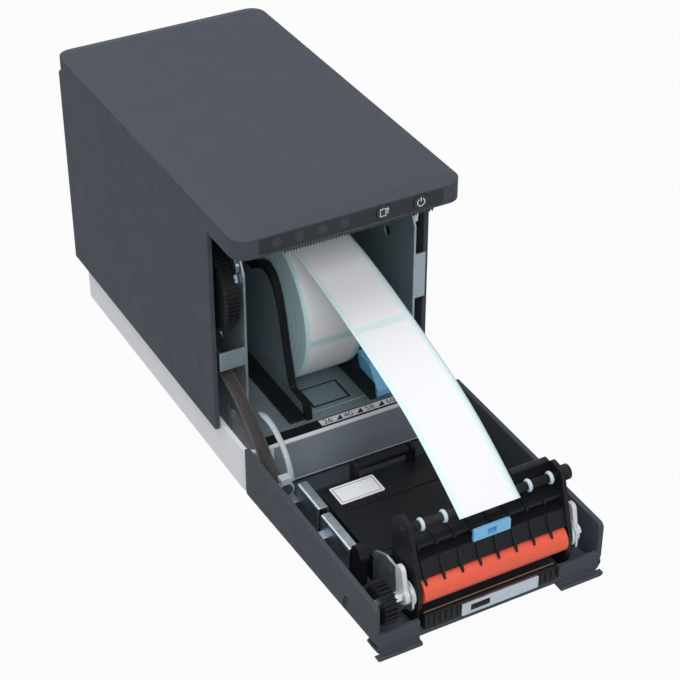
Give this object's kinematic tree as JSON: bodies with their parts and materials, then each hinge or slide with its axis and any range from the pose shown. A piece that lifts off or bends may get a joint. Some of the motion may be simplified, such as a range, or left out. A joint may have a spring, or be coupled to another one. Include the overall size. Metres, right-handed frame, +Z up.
{
  "type": "label printer",
  "caption": "Front-opening thermal label printer with its cover swung down, roll guides, label roll, platen, guide rollers, sliding sensor, tear bar and buttons.",
  "frame": {"origin": "centre of the four bracket screw holes in the base's underside", "axes": "+X to the right seen from the front, +Y to the back, +Z up"},
  "size_m": [0.13, 0.379, 0.1645],
  "materials": {
    "dark_case": "fine-grained charcoal",
    "light_base": "light lavender grey",
    "black_plastic": "near black",
    "panel_plastic": "smooth dark",
    "lens_plastic": "unlit status lens",
    "button_plastic": "dark with pale mark",
    "steel": "galvanised, bluish",
    "dark_steel": "shaded galvanised",
    "shaft_steel": "ground",
    "tear_steel": "blackened",
    "foot_rubber": "matt",
    "platen_red": "red orange, satin",
    "ring_rubber": "pale blue",
    "blue_plastic": "light blue",
    "white_plastic": "natural white",
    "label_paper": "white labels on teal liner",
    "core_card": "plain",
    "scale_paper": "white strip with dark figures",
    "head_aluminium": "bare",
    "board_green": "solder resist",
    "motor_metal": "plain",
    "wire_brass": "bright",
    "sleeve_braid": "brown-black braid",
    "tie_nylon": "translucent natural"
  },
  "bodies": {
    "chassis": {"base_tray": "light_base", "rubber_feet": "foot_rubber", "hinge_pins": "shaft_steel", "upper_case": "dark_case", "rear_cover": "dark_case", "case_screws": "dark_steel", "control_panel": "panel_plastic", "status_lenses": "lens_plastic", "tear_bar": "tear_steel", "left_frame": "dark_steel", "right_frame": "dark_steel", "top_brace": "steel", "roll_tray": "dark_steel", "scale_strip": "scale_paper", "label_web": "label_paper", "print_head": "white_plastic", "heat_sink": "head_aluminium", "head_springs": "steel", "gear_axles": "shaft_steel", "drive_motor": "motor_metal", "main_board": "board_green", "rear_connectors": "steel", "harness_sleeve": "sleeve_braid"},
    "front_cover": {"front_shell": "dark_case", "centre_plate": "black_plastic", "info_label": "scale_paper", "rear_channel": "steel", "front_channel": "steel", "lever_bracket": "black_plastic", "left_side_plate": "steel", "right_side_plate": "steel", "platen_bushes": "white_plastic", "guide_frame": "black_plastic", "sensor_rail": "shaft_steel", "lip_bar": "black_plastic", "lip_plate": "steel", "discharge_wire": "wire_brass", "cable_tie": "tie_nylon"},
    "platen": {"platen_shaft": "shaft_steel", "platen_rubber": "platen_red", "platen_gear": "black_plastic"},
    "guide_roller": {"guide_roller": "black_plastic", "guide_rings": "ring_rubber"},
    "damper_roller": {"damper_roller": "black_plastic"},
    "sensor_slider": {"sensor_slider": "blue_plastic"},
    "left_guide": {"left_guide": "black_plastic"},
    "right_guide": {"right_guide": "black_plastic"},
    "guide_lock": {"guide_lock": "blue_plastic"},
    "label_roll": {"label_roll": "label_paper", "roll_core": "core_card"},
    "drive_gear": {"drive_gear": "black_plastic"},
    "idler_gear": {"idler_gear": "black_plastic"},
    "motor_rotor": {"motor_pinion": "wire_brass", "motor_shaft": "shaft_steel"},
    "latch": {"latch_hooks": "steel", "latch_shaft": "shaft_steel"},
    "power_button": {"power_button": "button_plastic"},
    "feed_button": {"feed_button": "button_plastic"}
  },
  "joints": [
    {"name": "cover_hinge", "type": "hinge", "parent": "chassis", "child": "front_cover", "pos_m": [0, -0.118, 0.0025], "axis": [-1, 0, 0], "range_deg": [0, 90], "deforming": ["label_web", "harness_sleeve"]},
    {"name": "platen_spin", "type": "hinge", "parent": "front_cover", "child": "platen", "pos_m": [0.0043, -0.249, 0.029], "axis": [1, 0, 0], "continuous": true},
    {"name": "guide_roller_spin", "type": "hinge", "parent": "front_cover", "child": "guide_roller", "pos_m": [0.0043, -0.2405, 0.061], "axis": [1, 0, 0], "continuous": true},
    {"name": "damper_spin", "type": "hinge", "parent": "front_cover", "child": "damper_roller", "pos_m": [-0.0005, -0.1515, 0.0275], "axis": [1, 0, 0], "continuous": true},
    {"name": "sensor_slide", "type": "slide", "parent": "front_cover", "child": "sensor_slider", "axis": [1, 0, 0], "range_m": [-0.03, 0.03]},
    {"name": "left_guide_slide", "type": "slide", "parent": "chassis", "child": "left_guide", "axis": [1, 0, 0], "range_m": [-0.017, 0]},
    {"name": "right_guide_slide", "type": "slide", "parent": "chassis", "child": "right_guide", "axis": [1, 0, 0], "range_m": [0, 0.017]},
    {"name": "guide_lock_lift", "type": "hinge", "parent": "right_guide", "child": "guide_lock", "pos_m": [0.03, -0.0745, 0.0258], "axis": [-1, 0, 0], "range_deg": [0, 15]},
    {"name": "roll_spin", "type": "hinge", "parent": "chassis", "child": "label_roll", "pos_m": [0.0043, -0.044, 0.0683], "axis": [1, 0, 0], "continuous": true},
    {"name": "drive_spin", "type": "hinge", "parent": "chassis", "child": "drive_gear", "pos_m": [-0.0561, -0.0724, 0.1052], "axis": [1, 0, 0], "continuous": true},
    {"name": "idler_spin", "type": "hinge", "parent": "chassis", "child": "idler_gear", "pos_m": [-0.0561, -0.0396, 0.1052], "axis": [1, 0, 0], "continuous": true},
    {"name": "motor_spin", "type": "hinge", "parent": "chassis", "child": "motor_rotor", "pos_m": [-0.0561, -0.0228, 0.1052], "axis": [1, 0, 0], "continuous": true},
    {"name": "latch_swing", "type": "hinge", "parent": "chassis", "child": "latch", "pos_m": [0.0043, -0.044, 0.132], "axis": [1, 0, 0], "range_deg": [0, 5], "stiffness_Nm_per_rad": 1, "springref_deg": -2.86},
    {"name": "power_press", "type": "slide", "parent": "chassis", "child": "power_button", "axis": [0, 1, 0], "range_m": [0, 0.0006], "stiffness_N_per_m": 400},
    {"name": "feed_press", "type": "slide", "parent": "chassis", "child": "feed_button", "axis": [0, 1, 0], "range_m": [0, 0.0006], "stiffness_N_per_m": 400}
  ],
  "couplings": [
    {"joint": "right_guide_slide", "follows": "left_guide_slide", "ratio": -1},
    {"joint": "idler_spin", "follows": "drive_spin", "ratio": -1.9286},
    {"joint": "motor_spin", "follows": "drive_spin", "ratio": 3.8571}
  ]
}
